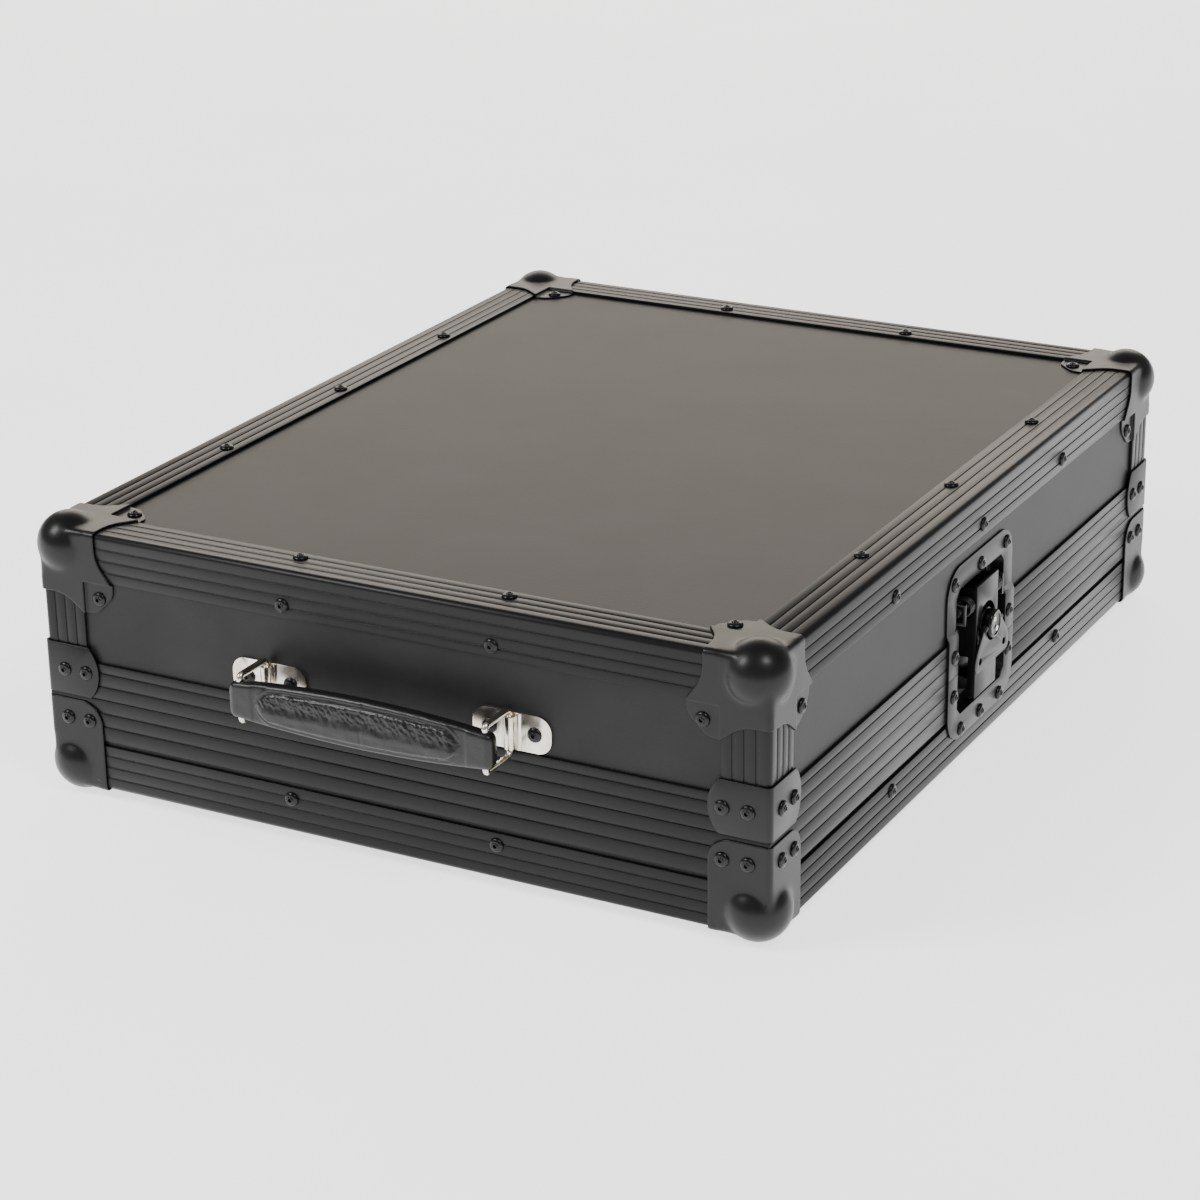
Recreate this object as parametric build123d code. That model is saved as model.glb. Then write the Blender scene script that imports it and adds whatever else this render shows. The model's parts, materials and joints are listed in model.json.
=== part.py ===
"""Flight case for a table-top mixer: lift-off lid on a shallow base, two butterfly latches and a strap handle."""
from build123d import *
from build123d import SkipClean
import math
import os

# Case, over the aluminium. The origin is the middle of the floor panel's underside, +Z up, handle towards -Y.
case_width = 476.0
case_depth = 596.0
base_height = 59.0
lid_height = 105.0
parting_gap = 0.3

# Laminated plywood panels
panel = 9.0
foam_gap = 0.3
field_margin = 0.5

# Edge angle: grooved aluminium
edge_thickness = 2.0
angle_leg = 29.0
angle_rounding = 3.5
angle_end = 30.0
groove_first = 8.5
groove_pitch = 7.1
groove_width = 0.9
groove_depth = 0.5
grooves_per_leg = 3

# Tongue and groove profiles along the parting line
lid_profile_height = 23.0
base_profile_height = 26.5
profile_web = 5.0
profile_inner_wall = 1.5
profile_inner_height = 14.0
profile_groove_pitch = 8.6
profile_grooves = 2
tongue_width = 3.0
tongue_height = 2.6
tongue_clearance = 0.4

# Pressed steel corners and braces
corner_sheet = 1.2
ball_radius = 19.5
ball_inset = 12.8
tip_inset = 4.0
wing_reach = 40.0
wing_waist = 16.0
lobe_reach = 50.5
lobe_start = 30.0
lobe_corner = 38.0
ball_rings = 6
ball_sides = 9
joggle_gap = 0.3
corner_rivet_place = 40.5
brace_width = 37.0
brace_flat = 30.5
brace_height = 32.3
base_corner_height = 56.3
base_corner_rounding = 8.0
side_rivet_near = 12.7
side_rivet_far = 28.2
brace_rivet_height = 15.8
base_corner_rivet_drop = 12.3

# Dome rivets
rivet_radius = 4.5
rivet_height = 2.4
rivet_sides = 6
rivet_slope = 35.0
rivet_line = 21.5
long_side_pitch = 133.0
short_side_pitch = 137.0

# Foam lining
base_foam_floor = 10.0
base_foam_wall = 20.0
lid_foam_top = 20.0
lid_foam_wall = 10.0
foam_rim_drop = 6.0

# Latch, pressed dishes. Levels are measured up from the underside of the lower angles.
latch_sheet = 1.2
latch_half_width = 52.0
latch_top = 127.0
latch_bottom = 15.8
latch_joggle_low = 84.0
latch_joggle_high = 88.0
latch_corner = 11.0
dish_half_width = 39.0
dish_top = 113.2
dish_bottom = 30.0
dish_depth = 7.0
dish_corner = 5.0
dish_draft = 12.0
dish_cut_gap = 0.4
latch_top_rivet_side = 41.5
latch_top_rivet_level = 117.4
latch_side_rivet_side = 43.6
latch_lid_rivet_level = 72.0
latch_base_rivet_level = 46.4
latch_bottom_rivet_level = 21.0
latch_bottom_rivet_pitch = 31.0

# Latch, moving clasp. Depths are measured outwards from the face of the panel.
clasp_half_width = 17.0
clasp_sheet = 2.0
clasp_face = 6.0
clasp_top = 108.4
clasp_bottom = 35.5
clasp_cheek_low = 62.0
clasp_cheek_high = 106.4
clasp_cheek_floor = 2.0
hook_cheek_depth = 3.0
clasp_window = 13.5
window_sides = 18
bearing_face = -0.5
bearing_half_height = 14.0
boss_radius = 9.5
hub_level = 80.0
hook_gap = 0.5
keeper_low = 40.0
keeper_high = 46.0
keeper_half_width = 13.0
keeper_bevel = 2.0
latch_throw = 4.0

# Latch, cross pin, its lugs and springs
pin_level = 96.5
pin_radius = 2.0
pin_depth = 0.0
pin_fit = 0.06
pin_half_length = 33.0
pin_hole_sides = 12
lug_start = 29.0
lug_sheet = 2.0
lug_half_height = 9.0
lug_head = 4.2
slot_clearance = 0.35
spring_wire = 0.75
spring_wire_sides = 3
spring_radius = 5.0
spring_pitch = 2.3
spring_half_turns = 6
spring_gap = 0.7
spring_leg = 9.0

# Latch, spindle and butterfly wing
neck_radius = 4.9
neck_fit = 0.08
hub_radius = 8.8
hub_height = 5.9
axial_gap = 0.3
washer_radius = 7.8
washer_thickness = 1.4
small_sides = 8
stud_radius = 2.4
stud_offset = latch_throw / 2
stud_slot_clearance = 1.3
stud_end_gap = 0.1
hub_dot_radius = 1.5
hub_dot_offset = 4.2
hub_dot_height = 0.4
hub_dot_tilt = 20.0
wing_pin_radius = 1.2
wing_pin_fit = 0.06
wing_pin_lift = 3.0
wing_knuckle = 2.2
wing_sheet = 1.6
wing_hole_radius = 10.5
wing_knuckle_start = 9.4
wing_knuckle_end = 13.5
wing_half_width = 27.0
wing_length = 25.0
wing_shoulder = 15.0
wing_corner = 3.0
padlock_radius = 2.5
padlock_side = 19.0
padlock_drop = 18.5

# Handle
handle_level = 94.0
handle_half_span = 80.0
bracket_width = 50.0
bracket_height = 22.5
bracket_sheet = 1.5
bracket_corner = 6.0
bracket_rivet_side = 14.5
wire_radius = 2.0
wire_fit = 0.08
barrel_wall = 1.3
barrel_height = 19.4
barrel_gap = 0.2
ring_height = 28.0
ring_reach = 27.0
ring_bend = 3.4
grip_end_bend = 2.0
ring_sides = 8
grip_hole_clearance = 0.3
grip_end_height = 20.5
grip_mid_height = 30.0
grip_thickness = 9.0
grip_end_margin = 6.0
core_thickness = 15.0
core_half_length = 66.0
core_margin = 4.5
core_chamfer = 3.0
grip_edge = 3.0

half_width = case_width / 2
half_depth = case_depth / 2
bottom = -edge_thickness
split = bottom + base_height
top = split + lid_height
panel_x = half_width - edge_thickness
panel_y = half_depth - edge_thickness
panel_top = top - edge_thickness
lid_low = split + parting_gap / 2
base_high = split - parting_gap / 2
profile_depth = edge_thickness + panel + profile_inner_wall

side_names = ("front", "right", "back", "left")
corners = {
    "front_left": (1, 1),
    "front_right": (-1, 1),
    "back_right": (-1, -1),
    "back_left": (1, -1),
}


# Upright plane that swaps the two sides of a corner
diagonal = Plane(origin=(0, 0, 0), x_dir=(0, 0, 1), z_dir=(1, -1, 0))


def side_place(side):
    """Turn that carries the front (-Y) side to the named one, with its distance from the middle and its length."""
    quarters = side_names.index(side)
    if quarters % 2:
        return 90 * quarters, half_width, case_depth
    return 90 * quarters, half_depth, case_width


def block(x0, x1, y0, y1, z0, z1):
    centre = Pos((x0 + x1) / 2, (y0 + y1) / 2, (z0 + z1) / 2)
    return centre * Box(x1 - x0, y1 - y0, z1 - z0)


def rectangle(a0, a1, b0, b1):
    return Pos((a0 + a1) / 2, (b0 + b1) / 2) * Rectangle(a1 - a0, b1 - b0)


def outline(points, size=0.0, numbers=(), treat=fillet):
    """Closed flat shape through points, with the numbered corners rounded or cut off."""
    shape = make_face(Polyline(*points, close=True))
    if not numbers:
        return shape
    chosen = [v for i in numbers for v in shape.vertices() if math.dist((v.X, v.Y), points[i]) < 1e-4]
    return treat(chosen, size)


def along_side(side, section, length):
    """Section drawn as (inwards, up) from the outer plane, run along one side of the case."""
    turn, distance, _ = side_place(side)
    placed = Plane.YZ * (Pos(-distance, 0) * section)
    return Rot(0, 0, turn) * extrude(placed, length / 2, both=True)


def mitre(side, depth):
    """Plan of one side between the 45 degree cuts at its two corners."""
    turn, distance, length = side_place(side)
    end = length / 2
    plan = outline([(-end, -distance), (end, -distance), (end - depth, -distance + depth),
                    (-end + depth, -distance + depth)])
    return Rot(0, 0, turn) * (Pos(0, 0, bottom) * extrude(plan, top - bottom))


def to_corner(shape, name, level):
    """Carry a piece drawn in the (+X, +Y) corner's inward directions to one corner of the case."""
    sx, sy = corners[name]
    if sx < 0:
        shape = mirror(shape, Plane.YZ)
    if sy < 0:
        shape = mirror(shape, Plane.XZ)
    return Pos(-sx * half_width, -sy * half_depth, level) * shape


def group(solids):
    return Compound(children=list(solids))


# Panels

def make_panels():
    base_range = (panel, base_high - profile_web)
    lid_range = (lid_low + profile_web, panel_top - panel)
    nodes = {
        "base_floor_panel": flat_panel(0),
        "lid_top_panel": flat_panel(panel_top - panel),
    }
    inner = panel_y - panel
    for part, (low, high) in (("base", base_range), ("lid", lid_range)):
        nodes[part + "_front_panel"] = block(-panel_x, panel_x, -panel_y, -inner, low, high)
        nodes[part + "_back_panel"] = block(-panel_x, panel_x, inner, panel_y, low, high)
        right = block(panel_x - panel, panel_x, -inner, inner, low, high) - latch_cut()
        nodes[part + "_right_panel"] = right
        nodes[part + "_left_panel"] = mirror(right, Plane.YZ)
    return nodes


def flat_panel(level):
    """Floor or top panel, whose field clear of the angles and corner lobes is a face of its own."""
    whole = block(-panel_x, panel_x, -panel_y, panel_y, level, level + panel)
    x = half_width - angle_leg - field_margin
    y = half_depth - angle_leg - field_margin
    cut = lobe_reach + lobe_corner - 2 * angle_leg + field_margin
    corner_points = [(-x, -y), (x, -y), (x, y), (-x, y)]
    field = Pos(0, 0, level) * extrude(outline(corner_points, cut, range(4), chamfer), panel)
    with SkipClean():
        return (whole - field).fuse(field)


def latch_cut():
    """Cut-out through panel and profiles for the latch dishes on the right side."""
    side = dish_half_width + dish_cut_gap
    back = half_width - profile_depth - dish_cut_gap
    low = bottom + dish_bottom - dish_cut_gap
    high = bottom + dish_top + dish_cut_gap
    return block(back, half_width + dish_cut_gap, -side, side, low, high)


# Aluminium

def l_section():
    """The grooved L section, drawn once with both legs."""
    leg, wall = angle_leg, edge_thickness
    points = [(0, 0), (leg, 0), (leg, wall), (wall, wall), (wall, leg), (0, leg)]
    section = outline(points, angle_rounding, [0])
    for i in range(grooves_per_leg):
        low = groove_first + i * groove_pitch - groove_width / 2
        high = low + groove_width
        section -= rectangle(low, high, -1, groove_depth)
        section -= rectangle(-1, groove_depth, low, high)
    return section


def make_angles():
    nodes = {}
    low_section = Pos(0, bottom) * l_section()
    high_section = Pos(0, top) * mirror(l_section(), Plane.XZ)
    for side in side_names:
        run = side_place(side)[2] - 2 * angle_end
        nodes["base_angle_" + side] = along_side(side, low_section, run)
        nodes["lid_angle_" + side] = along_side(side, high_section, run)
    low = split + lid_profile_height
    upright = Pos(0, 0, low) * extrude(l_section(), top - angle_end - low)
    nodes["lid_corner_angles"] = group(to_corner(upright, name, 0) for name in corners)
    return nodes


def profile_section(wall_height, tongue):
    """Profile that takes the panel's edge, drawn with its web at height 0 and its outer wall upwards."""
    inner = edge_thickness + panel
    section = rectangle(0, profile_depth, 0, profile_web)
    section += rectangle(0, edge_thickness, 0, wall_height)
    section += rectangle(inner, profile_depth, 0, profile_inner_height)
    for i in range(profile_grooves):
        place = (i + 1) * profile_groove_pitch
        section -= rectangle(-1, groove_depth, place - groove_width / 2, place + groove_width / 2)
    middle = profile_depth / 2
    if tongue:
        half = tongue_width / 2
        section += rectangle(middle - half, middle + half, -tongue_height, 0)
    else:
        half = tongue_width / 2 + tongue_clearance
        section -= rectangle(middle - half, middle + half, -1, tongue_height + tongue_clearance)
    return section


def make_profiles():
    lid_section = Pos(0, lid_low) * profile_section(lid_profile_height - parting_gap / 2, False)
    base_section = Pos(0, base_high) * mirror(profile_section(base_profile_height, True), Plane.XZ)
    nodes = {}
    for side in side_names:
        for part, section in (("lid", lid_section), ("base", base_section)):
            run = along_side(side, section, side_place(side)[2]) & mitre(side, profile_depth)
            if side == "right":
                run -= latch_cut()
            if side == "left":
                run -= mirror(latch_cut(), Plane.YZ)
            nodes[part + "_profile_" + side] = group(run.solids())
    return nodes


# Pressed corners

def wing_outline(reach):
    """Flat shape of one face of a ball corner, with the lobe that reaches onto the panel."""
    far = lobe_reach
    points = [
        (-corner_sheet, -corner_sheet),
        (reach, -corner_sheet),
        (reach, wing_waist),
        (far, lobe_start),
        (far, lobe_corner),
        (lobe_corner, far),
        (lobe_start, far),
        (wing_waist, reach),
        (-corner_sheet, reach),
    ]
    return outline(points)


def wing_plate(reach):
    """One face of a ball corner on Z = 0: it lies on the angles and steps down to the panel at the lobe."""
    shape = wing_outline(reach)
    upper = Pos(0, 0, -corner_sheet) * extrude(shape, corner_sheet)
    step = angle_leg + joggle_gap
    pocket = step + corner_sheet
    lobe = extrude(shape & rectangle(step, lobe_reach, step, lobe_reach), edge_thickness)
    square = rectangle(pocket, 2 * lobe_reach, pocket, 2 * lobe_reach)
    sunk = Pos(0, 0, -2 * corner_sheet) * extrude(square, corner_sheet + edge_thickness)
    return upper + lobe - sunk


def soften(shape, reach):
    """Round the outer bends of a pressed corner, which run along the three axes."""
    edge = -corner_sheet
    chosen = []
    for e in shape.edges():
        c = e.center()
        near = [abs(v - edge) < 1e-3 for v in (c.X, c.Y, c.Z)]
        if sum(near) == 2 and e.length > reach:
            chosen.append(e)
    return fillet(chosen, angle_rounding)


def ball():
    """Ball of flat facets, in rings round the corner's diagonal, cut away where the panels meet."""
    way = Vector(1, 1, 1).normalized()
    centre = Vector(ball_inset, ball_inset, ball_inset)
    rings = []
    for i in range(ball_rings):
        turn = math.pi * (i + 0.5) / ball_rings
        plane = Plane(origin=centre - way * (ball_radius * math.cos(turn)), x_dir=(1, -1, 0), z_dir=way)
        ring = plane * RegularPolygon(ball_radius * math.sin(turn), ball_sides)
        rings.append([edge @ 0 for edge in ring.wire().edges()])
    faces = [polygon(rings[0]), polygon(rings[-1])]
    for low, high in zip(rings, rings[1:]):
        for i in range(ball_sides):
            faces.append(polygon([low[i - 1], low[i], high[i], high[i - 1]]))
    reach = ball_inset + ball_radius
    return Solid(Shell(faces)) - block(0, reach, 0, reach, 0, reach)


def polygon(points):
    return make_face(Polyline(*points, close=True))


def open_tip(shell):
    """The three plates of a pressed corner stop short of its tip, which is all ball."""
    reach = 2 * ball_radius
    plane = Plane(origin=(tip_inset, tip_inset, tip_inset), z_dir=(-1, -1, -1))
    return shell - extrude(plane * Rectangle(reach, reach), reach)


def ball_corner():
    """Three-winged ball corner, drawn in its inward directions from the corner of the angles."""
    plate = wing_plate(wing_reach)
    threefold = Axis((0, 0, 0), (1, 1, 1))
    shell = plate + plate.rotate(threefold, 120) + plate.rotate(threefold, 240)
    return open_tip(soften(shell, wing_reach / 2)) + ball()


def base_ball_corner():
    """Ball corner of the base: two tall side plates and one wing underneath."""
    width, height, sheet = brace_width, base_corner_height, corner_sheet
    side = outline([(-sheet, -sheet), (width, -sheet), (width, height), (-sheet, height)],
                   base_corner_rounding, [2], chamfer)
    plate = extrude(Plane.XZ * side, sheet)
    shell = wing_plate(brace_width) + plate + mirror(plate, diagonal)
    return open_tip(soften(shell, brace_width / 2)) + ball()


def brace():
    """Two-legged brace with bowed ends, drawn with its lower edge at Z = 0."""
    sheet, height = corner_sheet, brace_height
    bow = ThreePointArc((brace_flat, 0), (brace_width, height / 2), (brace_flat, height))
    rest = Polyline((brace_flat, height), (-sheet, height), (-sheet, 0), (brace_flat, 0))
    leg = extrude(Plane.XZ * make_face([bow, rest]), sheet)
    return soften(leg + mirror(leg, diagonal), brace_height / 2)


def make_corners():
    nodes = {}
    top_corner = mirror(ball_corner(), Plane.XY)
    low_corner = base_ball_corner()
    one_brace = brace()
    for name in corners:
        nodes["lid_ball_corner_" + name] = to_corner(top_corner, name, top)
        nodes["base_ball_corner_" + name] = to_corner(low_corner, name, bottom)
    nodes["lid_corner_braces"] = group(to_corner(one_brace, name, lid_low) for name in corners)
    return nodes


# Foam

def make_foam():
    """Flat sheets of foam in base and lid, with walls that stand on them inside the profiles."""
    base_floor = (panel + foam_gap, panel + foam_gap + base_foam_floor)
    lid_roof = (panel_top - panel - foam_gap - lid_foam_top, panel_top - panel - foam_gap)
    base_walls = (base_floor[1], base_high - foam_rim_drop)
    lid_walls = (lid_low + foam_rim_drop, lid_roof[0])
    return {
        "base_foam": foam_lining(base_floor, base_walls, base_foam_wall),
        "lid_foam": foam_lining(lid_roof, lid_walls, lid_foam_wall),
    }


def foam_lining(sheet, walls, thickness):
    x = panel_x - panel - foam_gap
    y = panel_y - panel - foam_gap
    wall_x = half_width - profile_depth - foam_gap
    wall_y = half_depth - profile_depth - foam_gap
    bay_x = wall_x - thickness
    bay_y = wall_y - thickness
    return group([
        block(-x, x, -y, y, *sheet),
        block(-wall_x, wall_x, -wall_y, -bay_y, *walls),
        block(-wall_x, wall_x, bay_y, wall_y, *walls),
        block(-wall_x, -bay_x, -bay_y, bay_y, *walls),
        block(bay_x, wall_x, -bay_y, bay_y, *walls),
    ])


# Rivets

def rivet(place, outward):
    """Dome head standing on the surface at place."""
    head = extrude(RegularPolygon(rivet_radius, rivet_sides), rivet_height, taper=rivet_slope)
    return Plane(origin=place, z_dir=outward) * head


def spaced(pitch, count):
    return [(i - (count - 1) / 2) * pitch for i in range(count)]


def flange_rivets(level, flat_level, up):
    """Rivets of the four angles round one rim: on the upright legs and on the flat ones."""
    heads = []
    for side in side_names:
        turn, distance, length = side_place(side)
        pitch, count = (short_side_pitch, 2) if length == case_width else (long_side_pitch, 3)
        for x in spaced(pitch, count):
            under_latch = up < 0 and x == 0
            if not under_latch:
                heads.append(Rot(0, 0, turn) * rivet((x, -distance, level), (0, -1, 0)))
            heads.append(Rot(0, 0, turn) * rivet((x, -distance + rivet_line, flat_level), (0, 0, up)))
    return heads


def make_rivets():
    lid = flange_rivets(top - rivet_line, top, 1)
    base = flange_rivets(bottom + rivet_line, bottom, -1)
    lobe, sheet = corner_rivet_place, corner_sheet
    down = edge_thickness - corner_sheet
    for name in corners:
        upper = [
            rivet((lobe, lobe, -down), (0, 0, 1)),
            rivet((lobe, down, -lobe), (0, -1, 0)),
            rivet((down, lobe, -lobe), (-1, 0, 0)),
        ]
        lid += [to_corner(r, name, top) for r in upper]
        base.append(to_corner(rivet((lobe, lobe, down), (0, 0, -1)), name, bottom))
        for place in (side_rivet_near, side_rivet_far):
            level = base_corner_height - base_corner_rivet_drop
            pair = [rivet((place, -sheet, 0), (0, -1, 0)), rivet((-sheet, place, 0), (-1, 0, 0))]
            lid += [to_corner(r, name, lid_low + brace_rivet_height) for r in pair]
            base += [to_corner(r, name, bottom + level) for r in pair]
    for sign in (1, -1):
        lid += [turned(r, sign) for r in latch_lid_rivets()]
        base += [turned(r, sign) for r in latch_base_rivets()]
    for x in (-handle_half_span, handle_half_span):
        for side in (-bracket_rivet_side, bracket_rivet_side):
            place = (x + side, -panel_y - bracket_sheet, bottom + handle_level)
            lid.append(rivet(place, (0, -1, 0)))
    return {"lid_rivets": group(lid), "base_rivets": group(base)}


def turned(shape, sign):
    """The right latch's piece, or its mirror image on the left side."""
    return shape if sign > 0 else mirror(shape, Plane.YZ)


def latch_lid_rivets():
    face = panel_x + latch_sheet
    level = bottom + latch_top_rivet_level
    heads = [rivet((face, y, level), (1, 0, 0)) for y in spaced(latch_top_rivet_side, 3)]
    return heads + side_rivets(latch_lid_rivet_level)


def latch_base_rivets():
    face = half_width + latch_sheet
    level = bottom + latch_bottom_rivet_level
    heads = [rivet((face, y, level), (1, 0, 0)) for y in spaced(latch_bottom_rivet_pitch, 3)]
    return heads + side_rivets(latch_base_rivet_level)


def side_rivets(level):
    face = half_width + latch_sheet
    return [rivet((face, y, bottom + level), (1, 0, 0)) for y in spaced(2 * latch_side_rivet_side, 2)]


# Latch dishes

def side_sheet(half, low, high, cut, upper):
    """Flat shape on the latch's side plane (Y, Z), with its two upper or two lower corners cut off."""
    numbers = [2, 3] if upper else [0, 1]
    return outline([(-half, low), (half, low), (half, high), (-half, high)], cut, numbers, chamfer)


def on_side(depth):
    return Plane(origin=(depth, 0, 0), x_dir=(0, 1, 0), z_dir=(1, 0, 0))


def pocket(low, high, inset, face, floor, upper):
    """Tapered pocket from its mouth at the face down to the floor, with its walls set in by the inset."""
    half = dish_half_width - inset
    if upper:
        shape = side_sheet(half, low, high - inset, dish_corner, upper)
    else:
        shape = side_sheet(half, low + inset, high, dish_corner, upper)
    return extrude(on_side(face) * shape, -(face - floor), taper=dish_draft)


def upper_dish():
    """Frame on the lid panel that steps out over the profile, with the dish open at the parting line."""
    sheet = latch_sheet
    low, high = lid_low, bottom + latch_top
    step_low, step_high = bottom + latch_joggle_low, bottom + latch_joggle_high
    outer = half_width + sheet
    inner = panel_x + sheet
    edge = [(panel_x, high), (inner, high), (inner, step_high), (outer, step_low), (outer, low),
            (half_width, low), (half_width, step_low), (panel_x, step_high)]
    strip = extrude(Plane.XZ * outline(edge), latch_half_width, both=True)
    front = extrude(on_side(0) * side_sheet(latch_half_width, low, high, latch_corner, True), 2 * outer)
    mouth = side_sheet(dish_half_width - sheet, low - sheet, bottom + dish_top - sheet, dish_corner, True)
    frame = (strip & front) - extrude(on_side(panel_x) * mouth, 2 * sheet + edge_thickness)
    floor = panel_x - dish_depth
    body = pocket(low - dish_depth, bottom + dish_top, 0, panel_x, floor - sheet, True)
    hollow = pocket(low - 2 * dish_depth, bottom + dish_top, sheet, panel_x, floor, True)
    below = block(0, half_width, -latch_half_width, latch_half_width, 0, low)
    dish = body + side_walls(low, step_high) - hollow - below
    return frame + dish + lugs() - stud_slot()


def side_walls(low, high):
    """Walls that bring the dish out to the stepped frame beside the profile."""
    half = dish_half_width
    inner = half - latch_sheet
    pair = block(panel_x, half_width, inner, half, low, high)
    return pair + block(panel_x, half_width, -half, -inner, low, high)


def lugs():
    """Two ears that carry the cross pin in upright slots."""
    level = bottom + pin_level
    back = panel_x - dish_depth - latch_sheet / 2
    centre = panel_x + pin_depth
    slot_half = pin_radius + slot_clearance
    low, high = level - lug_half_height, level + lug_half_height / 2
    ear = block(back, centre + lug_head, lug_start, lug_start + lug_sheet, low, high)
    slot_end = lug_start + 2 * lug_sheet
    slot_low = level - latch_throw - slot_half
    ear -= block(centre - slot_half, centre + slot_half, 0, slot_end, slot_low, level + slot_half)
    return ear + mirror(ear, Plane.XZ)


def stud_slot():
    """Cross slot in the dish floor for the spindle's eccentric stud."""
    level = bottom + hub_level - stud_offset
    half_z = stud_radius + stud_slot_clearance
    half_y = half_z + stud_offset
    floor = panel_x - dish_depth
    return block(floor - 2 * latch_sheet, floor + latch_sheet, -half_y, half_y, level - half_z, level + half_z)


def lower_dish():
    """Frame and dish on the base, open at the parting line, with the keeper for the hook."""
    sheet = latch_sheet
    low, high = bottom + latch_bottom, base_high
    mouth_low = bottom + dish_bottom
    floor = panel_x - dish_depth
    shape = side_sheet(latch_half_width, low, high, latch_corner, False)
    hole = side_sheet(dish_half_width - sheet, mouth_low + sheet, high + sheet, dish_corner, False)
    frame = extrude(on_side(half_width) * (shape - hole), sheet)
    body = pocket(mouth_low, high + dish_depth, 0, half_width, floor - sheet, False)
    hollow = pocket(mouth_low, high + 2 * dish_depth, sheet, half_width, floor, False)
    above = block(0, half_width, -latch_half_width, latch_half_width, high, top)
    return frame + (body - hollow - above) + keeper()


def keeper():
    """Raised bar that the hook comes down over."""
    floor = panel_x - dish_depth - latch_sheet / 2
    face = panel_x + clasp_face - clasp_sheet - hook_cheek_depth - hook_gap
    low, high = bottom + keeper_low, bottom + keeper_high
    section = outline([(floor, low - keeper_bevel), (floor, high + keeper_bevel), (face, high), (face, low)])
    return extrude(Plane.XZ * section, keeper_half_width, both=True)


# Latch mechanism, in the closed position

def clasp():
    """Channel with a hook at its lower end, a window for the hub and a sunk bearing plate under it."""
    face = panel_x + clasp_face
    back = face - clasp_sheet
    half = clasp_half_width
    low, high = bottom + clasp_bottom, bottom + clasp_top
    cheek_low, cheek_high = bottom + clasp_cheek_low, bottom + clasp_cheek_high
    hub = bottom + hub_level
    plate_face = panel_x + bearing_face
    plate_back = plate_face - clasp_sheet
    lip_back = back - hook_cheek_depth
    web = block(back, face, -half, half, low, high)
    web -= prism_x(clasp_window, window_sides, back - clasp_sheet, face + clasp_sheet, hub)
    cheek = block(panel_x - dish_depth + clasp_cheek_floor, back, half - clasp_sheet, half, cheek_low, cheek_high)
    cheek += block(lip_back, back, half - clasp_sheet, half, low, cheek_low)
    lip = block(lip_back, back, -half, half, low, low + clasp_sheet)
    plate = block(plate_back, plate_face, -half, half, hub - bearing_half_height, hub + bearing_half_height)
    boss = prism_x(boss_radius, window_sides, plate_face, face, hub)
    body = web + cheek + mirror(cheek, Plane.XZ) + lip + plate + boss
    body -= prism_x(round_hole(neck_radius + neck_fit, window_sides), window_sides, 0, 2 * face, hub)
    pin_hole = Plane(origin=(panel_x + pin_depth, -2 * half, bottom + pin_level), x_dir=(1, 0, 0), z_dir=(0, 1, 0))
    across = RegularPolygon(round_hole(pin_radius + pin_fit, pin_hole_sides), pin_hole_sides)
    return body - extrude(pin_hole * across, 4 * half)


def round_hole(radius, count):
    """Corner radius of a many-sided hole whose flats stand at the given radius."""
    return radius / math.cos(math.pi / count)


def prism_x(radius, count, x0, x1, z, y=0.0):
    """Many-sided prism along X."""
    start = Plane(origin=(x0, y, z), x_dir=(0, 1, 0), z_dir=(1, 0, 0))
    return extrude(start * RegularPolygon(radius, count), x1 - x0)


def cylinder_x(radius, x0, x1, z):
    return Pos((x0 + x1) / 2, 0, z) * Rot(0, 90, 0) * Cylinder(radius, x1 - x0)


def cylinder_y(radius, half_length, x, z):
    return Pos(x, 0, z) * Rot(90, 0, 0) * Cylinder(radius, 2 * half_length)


def cross_pin():
    return cylinder_y(pin_radius, pin_half_length, panel_x + pin_depth, bottom + pin_level)


def spring_path():
    """Centre line of a torsion spring round +Z: a biarc for each half turn, with both legs on its -X side."""
    def on_helix(half_turns):
        turn = math.pi * (half_turns + 1)
        rise = spring_pitch * half_turns / 2
        slope = spring_pitch / (2 * math.pi)
        place = Vector(spring_radius * math.cos(turn), spring_radius * math.sin(turn), rise)
        return place, Vector(-spring_radius * math.sin(turn), spring_radius * math.cos(turn), slope).normalized()

    start, way = on_helix(0)
    pieces = [Line(start - way * spring_leg, start)]
    for i in range(spring_half_turns):
        p, a = on_helix(i)
        q, b = on_helix(i + 1)
        chord = q - p
        along = chord.dot(a + b)
        spread = 2 * (1 - a.dot(b))
        reach = (-along + math.sqrt(along ** 2 + spread * chord.dot(chord))) / spread
        joint = (p + q + (a - b) * reach) * 0.5
        middle = (q - b * reach) - (p + a * reach)
        pieces.append(TangentArc(p, joint, tangent=a))
        pieces.append(TangentArc(joint, q, tangent=middle.normalized()))
    end, way = on_helix(spring_half_turns)
    pieces.append(Line(end, end + way * spring_leg))
    return Wire(pieces)


def print_gap(path):
    """Least gap of the wire to itself, measured on points at least half a turn apart."""
    length = path.length
    count = int(length / spring_wire)
    near = math.ceil(math.pi * spring_radius * count / length)
    points = [path @ (i / count) for i in range(count + 1)]
    least = min((points[i] - points[j]).length for i in range(count + 1) for j in range(i + near, count + 1))
    print(f"spring least gap {least - 2 * spring_wire:.2f} mm")


def springs():
    """Two torsion springs round the cross pin, between the clasp's cheeks and the lugs."""
    path = spring_path()
    print_gap(path)
    start = Plane(origin=path @ 0, z_dir=path % 0)
    coil = sweep(start * RegularPolygon(spring_wire, spring_wire_sides), path)
    first = clasp_half_width + spring_gap + spring_wire
    one = Pos(panel_x + pin_depth, first, bottom + pin_level) * Rot(-90, 0, 0) * coil
    return group([one, mirror(one, Plane.XZ)])


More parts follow.
